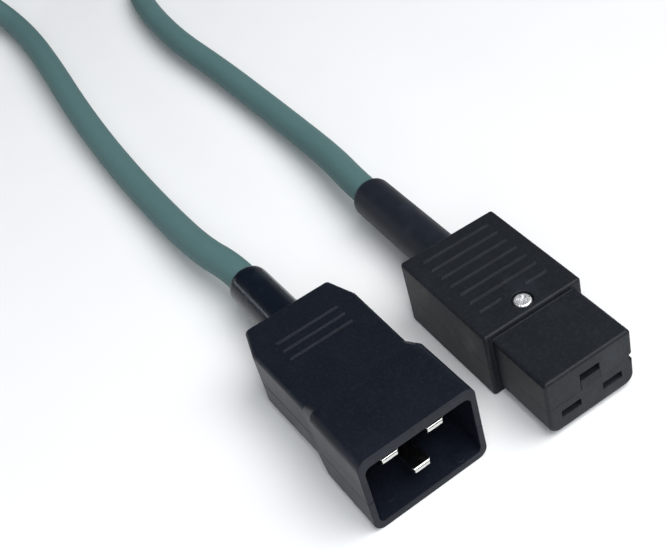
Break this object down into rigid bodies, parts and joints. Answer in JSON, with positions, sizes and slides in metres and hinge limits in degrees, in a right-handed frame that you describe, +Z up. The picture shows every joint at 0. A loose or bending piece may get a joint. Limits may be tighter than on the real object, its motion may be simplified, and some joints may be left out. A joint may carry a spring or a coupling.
{
  "type": "c19 power connector with c20 plug lead",
  "caption": "Rewireable appliance power connector with a ribbed two-shell housing, on a round grey-green cord whose far end carries the hooded plug with flat pins.",
  "frame": {"origin": "on the surface the lead lies on, under the middle of the connector between its nose face and the end of its boot", "axes": "+Z up, -Y out of the connector's nose, +Y along its cord"},
  "size_m": [0.1136, 0.4809, 0.0281],
  "materials": {
    "housing": "satin moulded",
    "insulator": "matt moulded",
    "contact": "stamped",
    "pin": "nickel plated",
    "screw": "zinc plated",
    "small_screw": "zinc plated",
    "boot": "satin",
    "sheath": "matt",
    "core_brown": "gloss",
    "core_blue": "gloss",
    "core_green": "gloss",
    "tie": "woven"
  },
  "bodies": {
    "root": {"c19_upper_shell": "housing", "c19_lower_shell": "housing", "c19_insulator": "insulator", "c19_line_contact": "contact", "c19_neutral_contact": "contact", "c19_earth_contact": "contact", "c19_terminal_screws": "small_screw", "c19_clamp_bar": "insulator", "c19_clamp_screws": "small_screw", "c19_housing_screw": "screw", "c19_housing_nut": "screw", "c19_boot": "boot", "c19_sheath_end": "sheath", "c19_line_core": "core_brown", "c19_neutral_core": "core_blue", "c19_earth_core": "core_green", "c20_upper_shell": "housing", "c20_lower_shell": "housing", "c20_pin_carrier": "insulator", "c20_line_pin": "pin", "c20_neutral_pin": "pin", "c20_earth_pin": "pin", "c20_terminal_screws": "small_screw", "c20_clamp_bar": "insulator", "c20_clamp_screws": "small_screw", "c20_housing_screws": "screw", "c20_boot": "boot", "c20_sheath_end": "sheath", "c20_line_core": "core_brown", "c20_neutral_core": "core_blue", "c20_earth_core": "core_green", "connector_cord": "sheath", "coiled_cord": "sheath", "plug_cord": "sheath", "coil_tie": "tie"}
  },
  "joints": []
}
